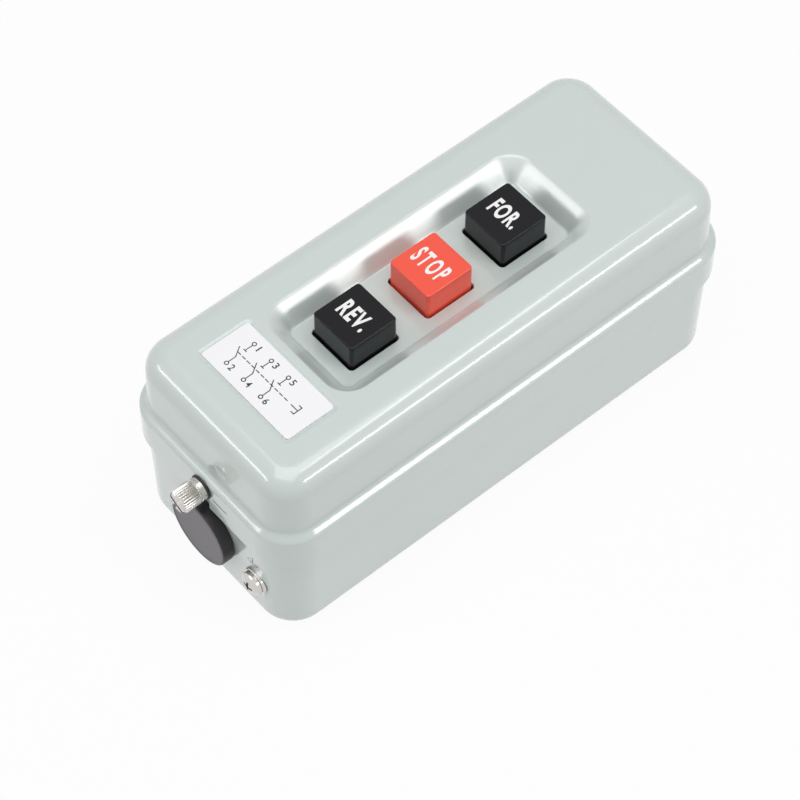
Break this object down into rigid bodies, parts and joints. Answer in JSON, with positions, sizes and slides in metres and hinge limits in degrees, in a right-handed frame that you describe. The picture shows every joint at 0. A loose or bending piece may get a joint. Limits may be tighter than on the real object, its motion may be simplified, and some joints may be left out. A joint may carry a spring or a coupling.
{
  "type": "pushbutton switch",
  "caption": "Manual reversing pushbutton switch for a three-phase motor in a pressed-steel box, with reverse, stop and forward buttons, lift-off cover and screw terminals.",
  "frame": {"origin": "centre of the flat underside of the tray", "axes": "+X along the box, from the thumbscrew end to the far end; +Z out of the button face; +Y across the box"},
  "size_m": [0.1712, 0.068, 0.0683],
  "materials": {
    "enamel": "semi-gloss grey-green stoved enamel",
    "label_plate": "satin white plate with fine black lines",
    "black_plastic": "glossy moulded black",
    "red_plastic": "glossy moulded red",
    "phenolic": "dark brown moulded phenolic",
    "spring_steel": "bright spring wire",
    "zinc_steel": "zinc plated",
    "nickel": "nickel plated",
    "brass": "rolled brass",
    "copper": "rolled copper",
    "fibre": "vulcanised fibre sheet",
    "rubber": "moulded black rubber"
  },
  "bodies": {
    "base": {"base_tray": "enamel", "near_cable_plug": "rubber", "far_cable_plug": "rubber", "earth_screw": "nickel", "earth_washer": "nickel", "earth_nut": "zinc_steel", "thumb_clip": "zinc_steel", "block_studs": "zinc_steel", "block_nuts": "zinc_steel", "insulating_sheet": "fibre", "terminal_block": "phenolic", "line_strips": "brass", "motor_strips": "brass", "cross_links": "copper", "terminal_clamps": "zinc_steel", "terminal_screws": "zinc_steel", "mechanism_frame": "zinc_steel", "frame_screws": "zinc_steel", "latch_spring": "spring_steel", "reverse_spring": "spring_steel", "stop_spring": "spring_steel", "forward_spring": "spring_steel"},
    "cover": {"cover": "enamel", "rating_label": "label_plate", "cover_tongue": "spring_steel"},
    "thumb_screw": {"thumb_screw": "nickel", "thumb_washer": "rubber"},
    "reverse_button": {"reverse_button": "black_plastic", "reverse_plunger": "phenolic", "reverse_carrier": "phenolic", "reverse_carrier_pin": "zinc_steel", "reverse_contact_posts": "brass"},
    "forward_button": {"forward_button": "black_plastic", "forward_plunger": "phenolic", "forward_carrier": "phenolic", "forward_carrier_pin": "zinc_steel", "forward_contact_posts": "brass"},
    "stop_button": {"stop_button": "red_plastic", "stop_plunger": "phenolic"},
    "reverse_bridges": {"reverse_bridges": "copper", "reverse_contact_springs": "spring_steel"},
    "forward_bridges": {"forward_bridges": "copper", "forward_contact_springs": "spring_steel"},
    "latch": {"latch_plate": "zinc_steel"}
  },
  "joints": [
    {"name": "reverse_press", "type": "slide", "parent": "base", "child": "reverse_button", "axis": [0, 0, -1], "range_m": [0, 0.005], "stiffness_N_per_m": 300, "springref_m": -0.005, "deforming": ["reverse_spring", "reverse_contact_springs"]},
    {"name": "forward_press", "type": "slide", "parent": "base", "child": "forward_button", "axis": [0, 0, -1], "range_m": [0, 0.005], "stiffness_N_per_m": 300, "springref_m": -0.005, "deforming": ["forward_spring", "forward_contact_springs"]},
    {"name": "stop_press", "type": "slide", "parent": "base", "child": "stop_button", "axis": [0, 0, -1], "range_m": [0, 0.004], "stiffness_N_per_m": 300, "springref_m": -0.005, "deforming": ["stop_spring", "latch_spring"]},
    {"name": "reverse_contacts", "type": "slide", "parent": "base", "child": "reverse_bridges", "axis": [0, 0, -1], "range_m": [0, 0.00418]},
    {"name": "forward_contacts", "type": "slide", "parent": "base", "child": "forward_bridges", "axis": [0, 0, -1], "range_m": [0, 0.00418]},
    {"name": "latch_slide", "type": "slide", "parent": "base", "child": "latch", "axis": [1, 0, 0], "range_m": [0, 0.00251]},
    {"name": "cover_lift", "type": "slide", "parent": "base", "child": "cover", "axis": [0, 0, 1], "range_m": [0, 0.04]},
    {"name": "thumb_screw_turn", "type": "hinge", "parent": "base", "child": "thumb_screw", "pos_m": [-0.08, -0.001, 0.041], "axis": [-1, 0, 0], "continuous": true}
  ],
  "couplings": [
    {"joint": "reverse_contacts", "follows": "reverse_press", "ratio": 0.83},
    {"joint": "forward_contacts", "follows": "forward_press", "ratio": 0.83},
    {"joint": "latch_slide", "follows": "stop_press", "ratio": 0.625}
  ]
}
